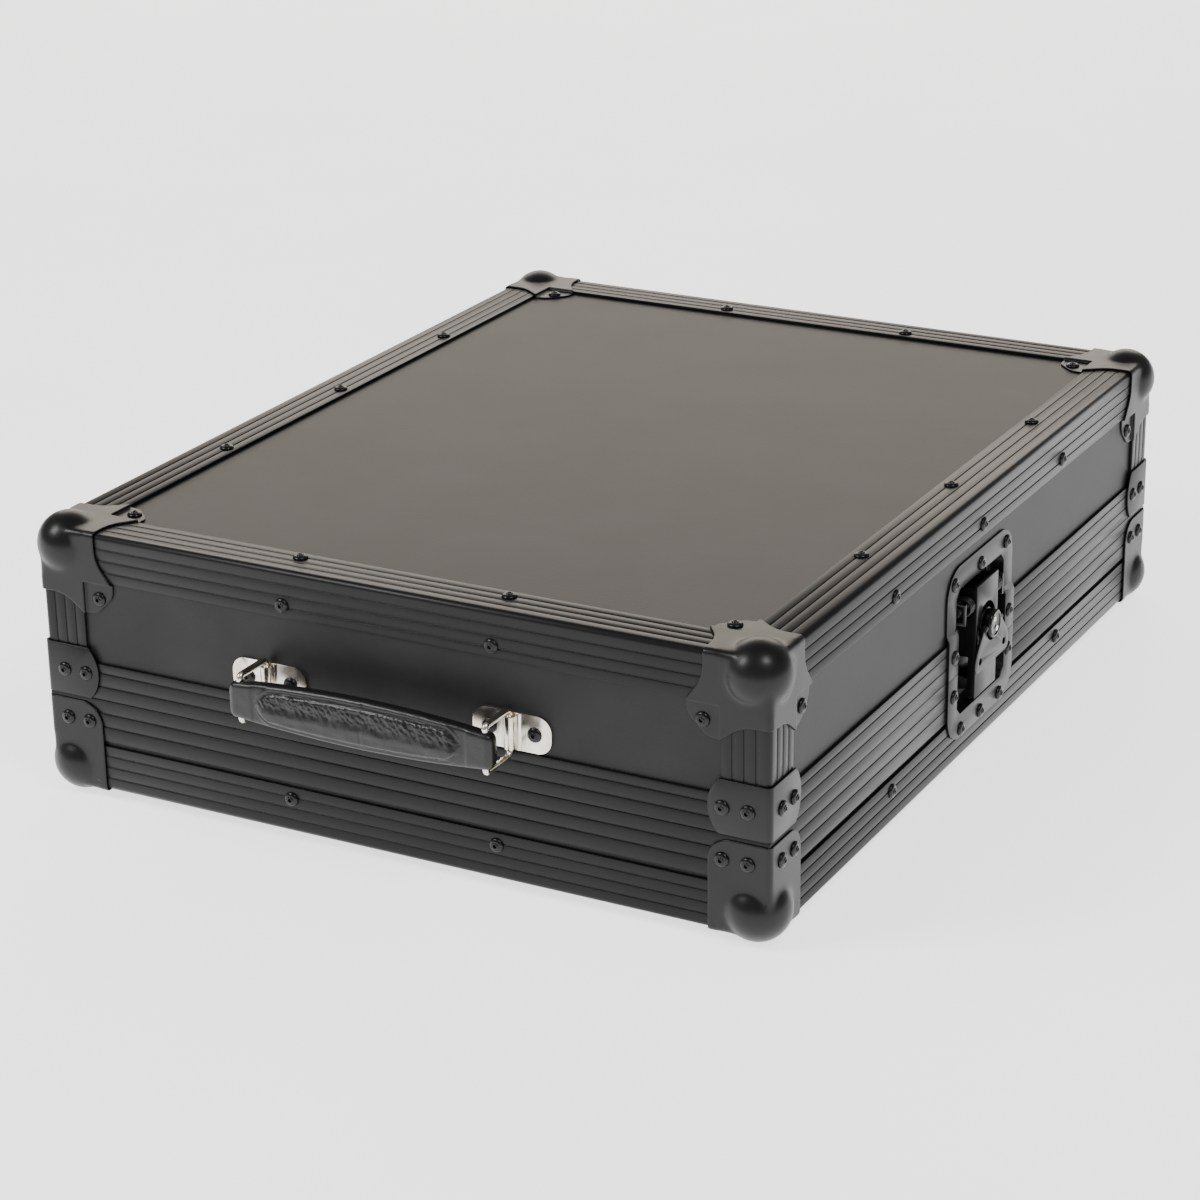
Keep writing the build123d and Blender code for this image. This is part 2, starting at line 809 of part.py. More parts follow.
def spindle():
    """Hub, neck, washer and eccentric stud in one turned piece, with two riveted pin ends on its face."""
    hub = bottom + hub_level
    foot = panel_x + clasp_face + axial_gap
    crown = foot + hub_height
    washer_top = panel_x + bearing_face - clasp_sheet - axial_gap
    washer_low = washer_top - washer_thickness
    stud_end = panel_x - dish_depth - latch_sheet + stud_end_gap
    body = prism_x(hub_radius, window_sides, foot, crown, hub)
    body += cylinder_x(neck_radius, washer_low, foot, hub)
    body += prism_x(washer_radius, window_sides, washer_low, washer_top, hub)
    body += prism_x(stud_radius, small_sides, stud_end, washer_low, hub - stud_offset)
    across = Plane(origin=(crown - wing_pin_lift, -2 * hub_radius, hub), x_dir=(1, 0, 0), z_dir=(0, 1, 0))
    pin_hole = RegularPolygon(round_hole(wing_pin_radius + wing_pin_fit, small_sides), small_sides)
    body -= extrude(across * pin_hole, 4 * hub_radius)
    tilt = math.radians(hub_dot_tilt)
    for sign in (1, -1):
        y = sign * hub_dot_offset * math.sin(tilt)
        z = hub + sign * hub_dot_offset * math.cos(tilt)
        body += prism_x(hub_dot_radius, small_sides, crown, crown + hub_dot_height, z, y)
    return body


def wing():
    """Fan-shaped butterfly wing with its hinge pin, lying flat below the hub."""
    hub = bottom + hub_level
    axis = panel_x + clasp_face + axial_gap + hub_height - wing_pin_lift
    start, end, wide = wing_knuckle_start, wing_knuckle_end, wing_half_width
    shape = outline([(-end, 0), (end, 0), (wide, -wing_shoulder), (wide, -wing_length), (-wide, -wing_length),
                     (-wide, -wing_shoulder)], wing_corner, [2, 3, 4, 5], chamfer)
    shape -= RegularPolygon(round_hole(wing_hole_radius, window_sides), window_sides)
    shape -= rectangle(-start, start, -wing_knuckle, wing_knuckle)
    for side in (-padlock_side, padlock_side):
        shape -= Pos(side, -padlock_drop) * RegularPolygon(padlock_radius, small_sides)
    back = Plane(origin=(axis - wing_sheet / 2, 0, hub), x_dir=(0, 1, 0), z_dir=(1, 0, 0))
    plate = extrude(back * shape, wing_sheet)
    knuckle = Plane(origin=(axis, start, hub), x_dir=(1, 0, 0), z_dir=(0, 1, 0))
    ear = extrude(knuckle * RegularPolygon(wing_knuckle, small_sides), end - start)
    return plate + ear + mirror(ear, Plane.XZ) + cylinder_y(wing_pin_radius, end, axis, hub)


def make_latches():
    makers = {"upper_dish": upper_dish, "lower_dish": lower_dish, "clasp": clasp, "cross_pin": cross_pin,
              "springs": springs, "spindle": spindle, "wing": wing}
    nodes = {}
    for name, maker in makers.items():
        right = maker()
        nodes[f"latch_right_{name}"] = right
        nodes[f"latch_left_{name}"] = mirror(right, Plane.YZ)
    return nodes


# Handle

pivot_y = -panel_y - bracket_sheet - wire_radius - wire_fit - barrel_gap
barrel_radius = wire_radius + wire_fit + barrel_wall
grip_y = pivot_y - ring_reach


def bracket():
    """Plate with the barrel for the ring's wire."""
    w, h = bracket_width / 2, bracket_height / 2
    shape = outline([(-w, -h), (w, -h), (w, h), (-w, h)], bracket_corner, range(4), chamfer)
    plate = Pos(0, -panel_y, 0) * extrude(Plane.XZ * shape, bracket_sheet)
    half = barrel_height / 2
    barrel = Pos(0, pivot_y, -half) * extrude(RegularPolygon(barrel_radius, small_sides), barrel_height)
    saddle = block(-barrel_radius, barrel_radius, pivot_y, -panel_y, -half, half)
    hole = Pos(0, pivot_y, 0) * Cylinder(wire_radius + wire_fit, 2 * barrel_height)
    return plate + barrel + saddle - hole


def ring():
    """Closed wire loop from the bracket's barrel out to the grip, with its bends cut off at 45 degrees."""
    half = ring_height / 2
    near, far = ring_bend, grip_end_bend
    points = [
        (0, pivot_y, half - near), (0, pivot_y - near, half), (0, grip_y + far, half), (0, grip_y, half - far),
        (0, grip_y, far - half), (0, grip_y + far, -half), (0, pivot_y - near, -half), (0, pivot_y, near - half),
    ]
    start = Vector(0, pivot_y, 0)
    path = Polyline(start, *points, start)
    section = Plane(origin=start, z_dir=(0, 0, 1)) * RegularPolygon(wire_radius, ring_sides)
    return sweep(section, path, transition=Transition.RIGHT)


def grip_shape(half_length, end_height, mid_height):
    a, b, c = half_length, end_height / 2, mid_height / 2
    upper = ThreePointArc((-a, b), (0, c), (a, b))
    lower = ThreePointArc((a, -b), (0, -c), (-a, -b))
    return make_face([upper, Line((a, b), (a, -b)), lower, Line((-a, -b), (-a, b))])


def bevelled(shape, thickness, bevel):
    """Flat shape as a slab with both of its rims bevelled."""
    slab = extrude(Plane.XZ * shape, thickness / 2, both=True)
    by_depth = slab.faces().sort_by(Axis.Y)
    return chamfer(by_depth[0].edges() + by_depth[-1].edges(), bevel)


def grip():
    """Strap with a padded core, its two ends wrapped round the rings."""
    reach = handle_half_span + grip_end_margin
    strap = bevelled(grip_shape(reach, grip_end_height, grip_mid_height), grip_thickness, grip_edge)
    core_shape = grip_shape(core_half_length, grip_end_height - core_margin, grip_mid_height - 2 * core_margin)
    body = strap + bevelled(core_shape, core_thickness, core_chamfer)
    hole = Cylinder(wire_radius + grip_hole_clearance, 2 * grip_mid_height)
    for x in (-handle_half_span, handle_half_span):
        body -= Pos(x, 0, 0) * hole
    return Pos(0, grip_y, 0) * body


def make_handle():
    level = bottom + handle_level
    span = handle_half_span
    return {
        "handle_bracket_left": Pos(-span, 0, level) * bracket(),
        "handle_bracket_right": Pos(span, 0, level) * bracket(),
        "handle_ring_left": Pos(-span, 0, level) * ring(),
        "handle_ring_right": Pos(span, 0, level) * ring(),
        "handle_grip": Pos(0, 0, level) * grip(),
    }


makers = (make_panels, make_angles, make_profiles, make_corners, make_foam, make_rivets, make_latches, make_handle)
os.makedirs("parts", exist_ok=True)
for make in makers:
    for node, shape in make().items():
        shape.label = node
        export_step(shape, f"parts/{node}.step")
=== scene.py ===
import json
import math
import random

import bmesh
import bpy
from mathutils import Matrix, Vector, noise


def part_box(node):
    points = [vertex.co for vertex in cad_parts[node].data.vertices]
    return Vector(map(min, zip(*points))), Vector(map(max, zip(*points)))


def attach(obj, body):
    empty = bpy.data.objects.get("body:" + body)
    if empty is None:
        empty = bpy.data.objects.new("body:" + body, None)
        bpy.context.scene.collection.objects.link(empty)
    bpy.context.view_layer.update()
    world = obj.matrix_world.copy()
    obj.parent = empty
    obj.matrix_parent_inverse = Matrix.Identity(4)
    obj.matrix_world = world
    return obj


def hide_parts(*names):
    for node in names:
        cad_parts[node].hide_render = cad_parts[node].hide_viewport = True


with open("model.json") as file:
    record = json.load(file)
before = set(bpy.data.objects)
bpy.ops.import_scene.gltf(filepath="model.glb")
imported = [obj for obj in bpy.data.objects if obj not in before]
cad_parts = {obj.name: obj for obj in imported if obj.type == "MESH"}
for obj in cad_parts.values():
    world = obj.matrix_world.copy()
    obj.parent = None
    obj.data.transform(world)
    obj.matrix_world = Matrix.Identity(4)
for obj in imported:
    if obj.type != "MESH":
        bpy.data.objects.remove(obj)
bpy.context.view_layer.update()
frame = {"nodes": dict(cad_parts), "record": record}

mm = 0.001
random.seed(7)
merging = {"distance": 0.005 * mm, "flatAngle": 0.4}


# small helpers
def deselectAll():
    if bpy.context.object and bpy.context.object.mode != "OBJECT":
        bpy.ops.object.mode_set(mode="OBJECT")
    bpy.ops.object.select_all(action="DESELECT")


def pick(*pieces):
    deselectAll()
    for piece in pieces:
        piece.select_set(True)
    bpy.context.view_layer.objects.active = pieces[0]


def editMode(piece, select="SELECT", mode="FACE"):
    pick(piece)
    bpy.ops.object.mode_set(mode="EDIT")
    bpy.ops.mesh.select_mode(type=mode)
    bpy.ops.mesh.select_all(action=select)


def objectMode():
    bpy.ops.object.mode_set(mode="OBJECT")


def selectEdges(piece, test):
    editMode(piece, "DESELECT", "EDGE")
    grid = bmesh.from_edit_mesh(piece.data)
    for edge in grid.edges:
        if test(edge):
            edge.select_set(True)
    bmesh.update_edit_mesh(piece.data)


def middleOf(edge):
    return (edge.verts[0].co + edge.verts[1].co) / 2


def wayOf(edge):
    return (edge.verts[1].co - edge.verts[0].co).normalized()


def applyModifier(piece, kind, **settings):
    modifier = piece.modifiers.new(kind.title(), kind)
    for name, value in settings.items():
        setattr(modifier, name, value)
    pick(piece)
    bpy.ops.object.modifier_apply(modifier=modifier.name)


def breakEdges(piece, width, segments=2, angle=35):
    applyModifier(piece, "BEVEL", width=width * mm, segments=segments, limit_method="ANGLE",
                  angle_limit=math.radians(angle))


def cutOut(piece, tool):
    applyModifier(piece, "BOOLEAN", object=tool, operation="DIFFERENCE", solver="EXACT")
    bpy.data.objects.remove(tool)


def settle(piece):
    pick(piece)  # its place goes into its mesh
    bpy.ops.object.transform_apply(location=True, rotation=True, scale=True)


def smooth(piece, degrees=38):
    pick(piece)
    bpy.ops.object.shade_smooth_by_angle(angle=math.radians(degrees))


def turnOutwards(piece):
    editMode(piece)
    bpy.ops.mesh.normals_make_consistent(inside=False)
    objectMode()


def joined(pieces, name):
    pick(*pieces)
    if len(pieces) > 1:
        bpy.ops.object.join()
    piece = bpy.context.object
    piece.name = name
    return piece


def copyOf(piece, matrix=Matrix.Identity(4)):
    twin = bpy.data.objects.new(piece.name, piece.data.copy())
    bpy.context.scene.collection.objects.link(twin)
    twin.data.transform(matrix)
    if matrix.determinant() < 0:
        twin.data.flip_normals()
    return twin


def nodeCopy(node, name):
    source = frame["nodes"][node]
    piece = bpy.data.objects.new(name, source.data.copy())
    bpy.context.scene.collection.objects.link(piece)
    editMode(piece)
    bpy.ops.mesh.remove_doubles(threshold=merging["distance"])
    bpy.ops.mesh.dissolve_limited(angle_limit=math.radians(merging["flatAngle"]))
    objectMode()
    return piece


def bodyOf(node):
    for name, members in frame["record"]["behaviour"]["bodies"].items():
        if node in members:
            return name


def slotOf(node):
    for part in frame["record"]["subparts"]:
        if part["node"] == node:
            return part["material_slot"]


def finishPiece(piece, material, body, slot, *nodes):
    piece.data.materials.clear()
    piece.data.materials.append(material)
    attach(piece, body)
    if nodes:
        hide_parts(*nodes)
    return piece


def finishNode(piece, material, node, ending):
    piece.name = node + ending
    return finishPiece(piece, material, bodyOf(node), slotOf(node), node)


# materials
def colour(code):
    parts = [int(code[i:i + 2], 16) / 255 for i in (1, 3, 5)]
    linear = [p / 12.92 if p <= 0.04045 else ((p + 0.055) / 1.055) ** 2.4 for p in parts]
    return (*linear, 1.0)


def addNode(tree, kind, settings=None, links=None):
    node = tree.nodes.new("ShaderNode" + kind)
    for name, value in (settings or {}).items():
        if name in node.inputs:
            node.inputs[name].default_value = value
        else:
            setattr(node, name, value)
    for name, source in (links or {}).items():
        tree.links.new(source, node.inputs[name])
    return node


def newMaterial(name):
    material = bpy.data.materials.new(name)
    material.use_nodes = True
    tree = material.node_tree
    tree.nodes.clear()
    place = addNode(tree, "TexCoord").outputs["Object"]
    return material, tree, place


def closeMaterial(tree, settings, links):
    shader = addNode(tree, "BsdfPrincipled", settings, links)
    addNode(tree, "OutputMaterial", None, {"Surface": shader.outputs["BSDF"]})


def perMetre(sizeMm):
    return 1.0 / (sizeMm * mm)


def speckle(tree, place, sizeMm, detail, dark, light, low=0.35, high=0.65):
    # two shades of one colour in soft clouds of a size
    cloud = addNode(tree, "TexNoise", {"Scale": perMetre(sizeMm), "Detail": detail},
                    {"Vector": place})
    ramp = addNode(tree, "ValToRGB", None, {"Fac": cloud.outputs["Fac"]})
    for element, position, shade in zip(ramp.color_ramp.elements, (low, high), (dark, light)):
        element.position = position
        element.color = colour(shade)
    return cloud, ramp


laminateLook = {"dark": "#19191a", "light": "#212122", "cloudMm": 60, "pebbleMm": 1.5,
                "pebbleSoftness": 0.6, "bump": 0.12, "bumpMm": 0.3, "rough": 0.46,
                "ior": 1.5, "specular": 0.21}


def makeLaminate(look):
    # black phenolic laminate on birch ply: a fine hammered skin that breaks the light up
    material, tree, place = newMaterial("phenolicLaminate")
    tint = speckle(tree, place, look["cloudMm"], 3, look["dark"], look["light"])[1]
    pebble = addNode(tree, "TexVoronoi", {"Scale": perMetre(look["pebbleMm"]),
                     "feature": "SMOOTH_F1", "Smoothness": look["pebbleSoftness"]},
                     {"Vector": place})
    bump = addNode(tree, "Bump", {"Strength": look["bump"], "Distance": look["bumpMm"] * mm},
                   {"Height": pebble.outputs["Distance"]})
    closeMaterial(tree, {"Roughness": look["rough"], "IOR": look["ior"],
                         "Specular IOR Level": look["specular"]},
                  {"Base Color": tint.outputs["Color"], "Normal": bump.outputs["Normal"]})
    return material


anodisedLook = {"dark": "#131314", "light": "#1b1b1c", "streakMm": 220, "lineMm": 0.35,
                "bump": 0.06, "bumpMm": 0.05, "roughLow": 0.28, "roughHigh": 0.42,
                "metallic": 0.35, "ior": 1.5, "specular": 0.26}


def makeAnodised(name, stretch, look):
    # black anodised aluminium extrusion: satin, with fine die lines along its length
    material, tree, place = newMaterial(name)
    drawn = addNode(tree, "Mapping", {"Scale": stretch}, {"Vector": place})
    lines = addNode(tree, "TexNoise", {"Scale": perMetre(look["lineMm"]), "Detail": 3},
                    {"Vector": drawn.outputs["Vector"]})
    tint = speckle(tree, place, look["streakMm"], 4, look["dark"], look["light"])[1]
    rough = addNode(tree, "MapRange", {"To Min": look["roughLow"], "To Max": look["roughHigh"]},
                    {"Value": lines.outputs["Fac"]})
    bump = addNode(tree, "Bump", {"Strength": look["bump"], "Distance": look["bumpMm"] * mm},
                   {"Height": lines.outputs["Fac"]})
    closeMaterial(tree, {"Metallic": look["metallic"], "IOR": look["ior"],
                         "Specular IOR Level": look["specular"]},
                  {"Base Color": tint.outputs["Color"], "Roughness": rough.outputs["Result"],
                   "Normal": bump.outputs["Normal"]})
    return material


paintFilm = {"blotMm": 25, "smoother": 0.04, "rougher": 0.10, "bump": 0.10, "bumpMm": 0.05,
             "metallic": 0.2, "ior": 1.5, "specular": 0.26, "coat": 0.15, "coatRough": 0.24}
coatedLook = {"dark": "#0a0a0b", "light": "#121213", "peelMm": 1.1, "rough": 0.36}
rivetLook = {"dark": "#0d0d0e", "light": "#1a1a1b", "peelMm": 0.8, "rough": 0.24}
springLook = {"dark": "#1b1b1d", "light": "#2c2c2e", "peelMm": 0.6, "rough": 0.3}
glossLook = {"dark": "#0b0b0c", "light": "#111112", "peelMm": 1.6, "rough": 0.16}
threadLook = {"dark": "#101011", "light": "#1e1e1f", "peelMm": 0.5, "rough": 0.45}


def makeCoated(name, look):
    # stoved black paint or oil film on steel: near black, with a soft orange peel under a gloss
    material, tree, place = newMaterial(name)
    blot, tint = speckle(tree, place, paintFilm["blotMm"], 3, look["dark"], look["light"])
    peel = addNode(tree, "TexNoise", {"Scale": perMetre(look["peelMm"]), "Detail": 2},
                   {"Vector": place})
    bump = addNode(tree, "Bump", {"Strength": paintFilm["bump"],
                   "Distance": paintFilm["bumpMm"] * mm}, {"Height": peel.outputs["Fac"]})
    rough = addNode(tree, "MapRange", {"To Min": look["rough"] - paintFilm["smoother"],
                    "To Max": look["rough"] + paintFilm["rougher"]},
                    {"Value": blot.outputs["Fac"]})
    closeMaterial(tree, {"Metallic": paintFilm["metallic"], "IOR": paintFilm["ior"],
                         "Specular IOR Level": paintFilm["specular"],
                         "Coat Weight": paintFilm["coat"],
                         "Coat Roughness": paintFilm["coatRough"]},
                  {"Base Color": tint.outputs["Color"], "Roughness": rough.outputs["Result"],
                   "Normal": bump.outputs["Normal"]})
    return material


nickelLook = {"dark": "#c9c1b3", "light": "#efe9dd", "hazeMm": 8, "grainMm": 0.5,
              "roughLow": 0.15, "roughHigh": 0.32, "bump": 0.05, "bumpMm": 0.03}


def makeNickel(look):
    # bright nickel plate on steel: warm white metal with faint polishing haze
    material, tree, place = newMaterial("nickelPlate")
    haze, tint = speckle(tree, place, look["hazeMm"], 4, look["dark"], look["light"])
    grain = addNode(tree, "TexNoise", {"Scale": perMetre(look["grainMm"]), "Detail": 3},
                    {"Vector": place})
    rough = addNode(tree, "MapRange", {"To Min": look["roughLow"], "To Max": look["roughHigh"]},
                    {"Value": haze.outputs["Fac"]})
    bump = addNode(tree, "Bump", {"Strength": look["bump"], "Distance": look["bumpMm"] * mm},
                   {"Height": grain.outputs["Fac"]})
    closeMaterial(tree, {"Metallic": 1.0},
                  {"Base Color": tint.outputs["Color"], "Roughness": rough.outputs["Result"],
                   "Normal": bump.outputs["Normal"]})
    return material


foamLook = {"dark": "#1d1d20", "light": "#37373b", "cellMm": 1.4, "bump": 0.5, "bumpMm": 0.5,
            "rough": 0.9, "sheen": 0.15, "sheenRough": 0.5}


def makeFoam(look):
    # closed-cell polyethylene foam: matt dark grey with small open pores on its cut faces
    material, tree, place = newMaterial("cellFoam")
    cells = addNode(tree, "TexVoronoi", {"Scale": perMetre(look["cellMm"])}, {"Vector": place})
    # the colour follows the pores' depth: their hollows are painted darker than the cell walls, a
    # painted shade
    tint = addNode(tree, "ValToRGB", None, {"Fac": cells.outputs["Distance"]})
    tint.color_ramp.elements[0].color = colour(look["dark"])
    tint.color_ramp.elements[1].color = colour(look["light"])
    bump = addNode(tree, "Bump", {"Strength": look["bump"], "Distance": look["bumpMm"] * mm},
                   {"Height": cells.outputs["Distance"]})
    closeMaterial(tree, {"Roughness": look["rough"], "Sheen Weight": look["sheen"],
                         "Sheen Roughness": look["sheenRough"]},
                  {"Base Color": tint.outputs["Color"], "Normal": bump.outputs["Normal"]})
    return material


leatherLook = {"dark": "#0b0b0c", "light": "#171717", "grainMm": 1.3, "grainEdge": 0.25,
               "creaseMm": 6, "roughLow": 0.26, "roughHigh": 0.46, "bump": 0.35, "bumpMm": 0.12,
               "ior": 1.5, "specular": 0.3, "coat": 0.2, "coatRough": 0.2}


def makeLeather(look):
    # embossed black leathercloth: small pebbled cells under a thin gloss coat, their tops painted
    # lighter as a painted highlight and the creases between them painted darker as painted shade
    material, tree, place = newMaterial("leathercloth")
    grain = addNode(tree, "TexVoronoi", {"Scale": perMetre(look["grainMm"]),
                    "feature": "DISTANCE_TO_EDGE"}, {"Vector": place})
    crease = addNode(tree, "TexNoise", {"Scale": perMetre(look["creaseMm"]), "Detail": 5},
                     {"Vector": place})
    height = addNode(tree, "MapRange", {"From Max": look["grainEdge"]},
                     {"Value": grain.outputs["Distance"]})
    # the colour follows the pebbles' height: painted shade in the creases between cells, painted
    # highlight on their tops
    tint = addNode(tree, "ValToRGB", None, {"Fac": height.outputs["Result"]})
    tint.color_ramp.elements[0].color = colour(look["dark"])
    tint.color_ramp.elements[1].color = colour(look["light"])
    rough = addNode(tree, "MapRange", {"To Min": look["roughLow"], "To Max": look["roughHigh"]},
                    {"Value": crease.outputs["Fac"]})
    bump = addNode(tree, "Bump", {"Strength": look["bump"], "Distance": look["bumpMm"] * mm},
                   {"Height": height.outputs["Result"]})
    closeMaterial(tree, {"IOR": look["ior"], "Specular IOR Level": look["specular"],
                         "Coat Weight": look["coat"], "Coat Roughness": look["coatRough"]},
                  {"Base Color": tint.outputs["Color"], "Roughness": rough.outputs["Result"],
                   "Normal": bump.outputs["Normal"]})
    return material


laminate = makeLaminate(laminateLook)
anodisedX = makeAnodised("anodisedAlongX", (0.01, 1, 1), anodisedLook)
anodisedY = makeAnodised("anodisedAlongY", (1, 0.01, 1), anodisedLook)
anodisedZ = makeAnodised("anodisedAlongZ", (1, 1, 0.01), anodisedLook)
coated = makeCoated("stovedBlackSteel", coatedLook)
rivetBlack = makeCoated("blackenedRivetSteel", rivetLook)
springSteel = makeCoated("oiledSpringSteel", springLook)
glossBlack = makeCoated("glossBlackSteel", glossLook)
thread = makeCoated("waxedThread", threadLook)
nickel = makeNickel(nickelLook)
foam = makeFoam(foamLook)
leather = makeLeather(leatherLook)
print("materials made")


# camera, floor and light
cameraView = {"place": (0.9086, -1.7236, 0.8187), "azimuth": 28.43, "elevation": 21.52,
              "roll": -0.84, "lens": 97.8, "sensor": 36, "farthest": 200}


def makeCamera():
    data = bpy.data.cameras.new("photoCamera")
    data.lens = cameraView["lens"]
    data.sensor_width = cameraView["sensor"]
    data.sensor_fit = "HORIZONTAL"
    data.clip_end = cameraView["farthest"]
    camera = bpy.data.objects.new("photoCamera", data)
    bpy.context.scene.collection.objects.link(camera)
    turn = Matrix.Rotation(math.radians(cameraView["azimuth"]), 4, "Z")
    tilt = Matrix.Rotation(math.radians(90 - cameraView["elevation"]), 4, "X")
    roll = Matrix.Rotation(math.radians(cameraView["roll"]), 4, "Z")
    camera.matrix_world = Matrix.Translation(cameraView["place"]) @ turn @ tilt @ roll
    bpy.context.scene.camera = camera


studio = {"floorDark": "#f0f0f0", "floorLight": "#fafafa", "floorCloudMm": 300,
          "floorSize": 60.0, "floorRough": 0.7, "floorGlow": 1.75, "worldColour": "#ffffff",
          "worldStrength": 0.3}
lamps = {
    "leftBox": {"place": (-1.35, -1.5, 1.75), "size": (0.8, 0.8), "power": 36,
                "colour": "#ffffff", "aim": (0, 0, 0.05)},
    "rightBox": {"place": (1.45, -0.9, 2.2), "size": (0.7, 0.7), "power": 26,
                 "colour": "#ffffff", "aim": (0.1, 0, 0.1)},
    "backBox": {"place": (-1.5, 3.0, 1.5), "size": (3.6, 1.9), "power": 64,
                "colour": "#fff3e4", "aim": (0, 0, 0.1)},
}


def makeFloor():
    low = min(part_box(node)[0].z for node in frame["nodes"])
    bpy.ops.mesh.primitive_plane_add(size=studio["floorSize"], location=(0, 0, low))
    floor = bpy.context.object
    floor.name = "studioFloor"
    # white paint, lit from below as a light table is
    material, tree, place = newMaterial("paintedFloor")
    tint = speckle(tree, place, studio["floorCloudMm"], 3, studio["floorDark"],
                   studio["floorLight"])[1]
    closeMaterial(tree, {"Roughness": studio["floorRough"], "Emission Color": (1, 1, 1, 1),
                         "Emission Strength": studio["floorGlow"]},
                  {"Base Color": tint.outputs["Color"]})
    floor.data.materials.append(material)


def makeLight():
    world = bpy.data.worlds.new("studioWorld")
    world.use_nodes = True
    background = world.node_tree.nodes["Background"]
    background.inputs["Color"].default_value = colour(studio["worldColour"])
    background.inputs["Strength"].default_value = studio["worldStrength"]
    bpy.context.scene.world = world
    for name, lamp in lamps.items():
        data = bpy.data.lights.new(name, "AREA")
        data.energy = lamp["power"]
        data.shape = "RECTANGLE"
        data.size, data.size_y = lamp["size"]
        data.color = colour(lamp["colour"])[:3]
        light = bpy.data.objects.new(name, data)
        bpy.context.scene.collection.objects.link(light)
        light.location = lamp["place"]
        aim = Vector(lamp["aim"]) - Vector(lamp["place"])
        light.rotation_euler = aim.to_track_quat("-Z", "Y").to_euler()


makeCamera()
makeFloor()
makeLight()
print("camera and studio made")


# CAD nodes that keep their shape: panels as they are, sheet and extrusions with softer edges
sideFinish = {"front": anodisedX, "back": anodisedX, "left": anodisedY, "right": anodisedY}
softEdge = {"aluminium": 0.35, "steel": 0.3}  # mm
cornerRounding = {"aligned": 0.93, "across": 0.5, "fromAngle": 14, "toAngle": 60,
                  "share": 0.48, "shortReach": 5, "shortSteps": 3, "longSteps": 6,
                  "match": 0.02}


def paintNode(node, material):
    data = frame["nodes"][node].data
    data.materials.clear()
    data.materials.append(material)


def flatCorners(piece, axis):
    # middles of the edges along an axis where the CAD cuts a corner off, by length of its flats
    form = cornerRounding
    grid = bmesh.new()
    grid.from_mesh(piece.data)
    found = {}
    for edge in grid.edges:
        if len(edge.link_faces) != 2 or abs(wayOf(edge)[axis]) < form["aligned"]:
            continue
        if not form["fromAngle"] < math.degrees(edge.calc_face_angle(0)) < form["toAngle"]:
            continue
        flats = [other.calc_length() for vertex in edge.verts for other in vertex.link_edges
                 if abs(wayOf(other)[axis]) < form["across"]]
        if flats:
            found.setdefault(round(min(flats) / mm, 1), []).append(middleOf(edge))
    grid.free()
    return found


def roundCorners(piece, axis):
    # the flats are rolled round, as a press or a punch leaves them
    form = cornerRounding
    for reach, middles in flatCorners(piece, axis).items():
        selectEdges(piece, lambda edge: any((middleOf(edge) - other).length < form["match"] * mm
                                            for other in middles))
        steps = form["shortSteps"] if reach < form["shortReach"] else form["longSteps"]
        bpy.ops.mesh.bevel(offset=form["share"] * reach * mm, segments=steps, affect="EDGES",
                           clamp_overlap=True)
        objectMode()


def softened(node, width, material, corners=None):
    # the CAD shape with its sharp edges broken, as rolled, pressed or machined edges are
    piece = nodeCopy(node, node + "_dressed")
    if corners is not None:
        roundCorners(piece, corners)
    breakEdges(piece, width)
    smooth(piece)
    finishNode(piece, material, node, "_dressed")


for node in sorted(frame["nodes"]):
    if "panel" in node:
        paintNode(node, laminate)
    if "angle_" in node or "profile_" in node:
        softened(node, softEdge["aluminium"], sideFinish[node.rsplit("_", 1)[1]])
softened("lid_corner_angles", softEdge["aluminium"], anodisedZ)
softened("lid_corner_braces", softEdge["steel"], coated)
for side in ("left", "right"):
    for part in ("upper_dish", "lower_dish", "clasp", "wing"):
        softened(f"latch_{side}_{part}", softEdge["steel"], coated, corners=0)
    softened(f"latch_{side}_cross_pin", softEdge["steel"], springSteel, corners=1)
print("panels, aluminium and latches dressed")


# turned pieces
def turnedForm(profile, sides, name):
    # profile lists (height, radius) in mm from the seat outwards, along Z
    deselectAll()
    height, radius = profile[0]
    bpy.ops.mesh.primitive_circle_add(vertices=sides, radius=radius * mm, fill_type="NGON",
                                      location=(0, 0, height * mm))
    piece = bpy.context.object
    piece.name = name
    settle(piece)
    editMode(piece)
    for nextHeight, nextRadius in profile[1:]:
        rise = (0, 0, (nextHeight - height) * mm)
        bpy.ops.mesh.extrude_region_move(TRANSFORM_OT_translate={"value": rise})
        share = nextRadius / radius
        bpy.ops.transform.resize(value=(share, share, 1))
        height, radius = nextHeight, nextRadius
    objectMode()
    turnOutwards(piece)
    return piece


def shifted(piece, y, z):
    # before the turn to the side of the case, a piece's own X is the row's Z
    pick(piece)
    piece.location = (z * mm, y * mm, 0)
    settle(piece)
    return piece


# spindle of the butterfly latch: eccentric stud, washer, neck and hub with its two pins
spindleForm = {
    "hub": (0, 78.0),        # its middle, y and z
    "sides": 48, "edge": 0.2, "edgeAngle": 50,
    "shaft": [(231.8, 7.5), (232.0, 7.8), (232.9, 7.8), (233.2, 7.5), (233.2, 4.9), (242.3, 4.9),
              (242.3, 8.2), (242.7, 8.8), (247.3, 8.8), (247.8, 8.5), (248.15, 8.0), (248.2, 7.5),
              (248.15, 7.1), (247.6, 6.7), (247.45, 6.3)],
    "stud": [(229.1, 2.2), (229.3, 2.4), (231.81, 2.4)], "studSides": 20, "studDrop": 2.0,
    "boreLevel": 245.2, "boreRadius": 1.35, "boreLength": 24, "boreSides": 20,
    "pinEnd": [(247.0, 1.9), (247.9, 1.9), (248.1, 1.7), (248.15, 1.3)], "pinEndSides": 8,
    "pinEndOffset": 3.9, "pinEndTilt": 27.0}


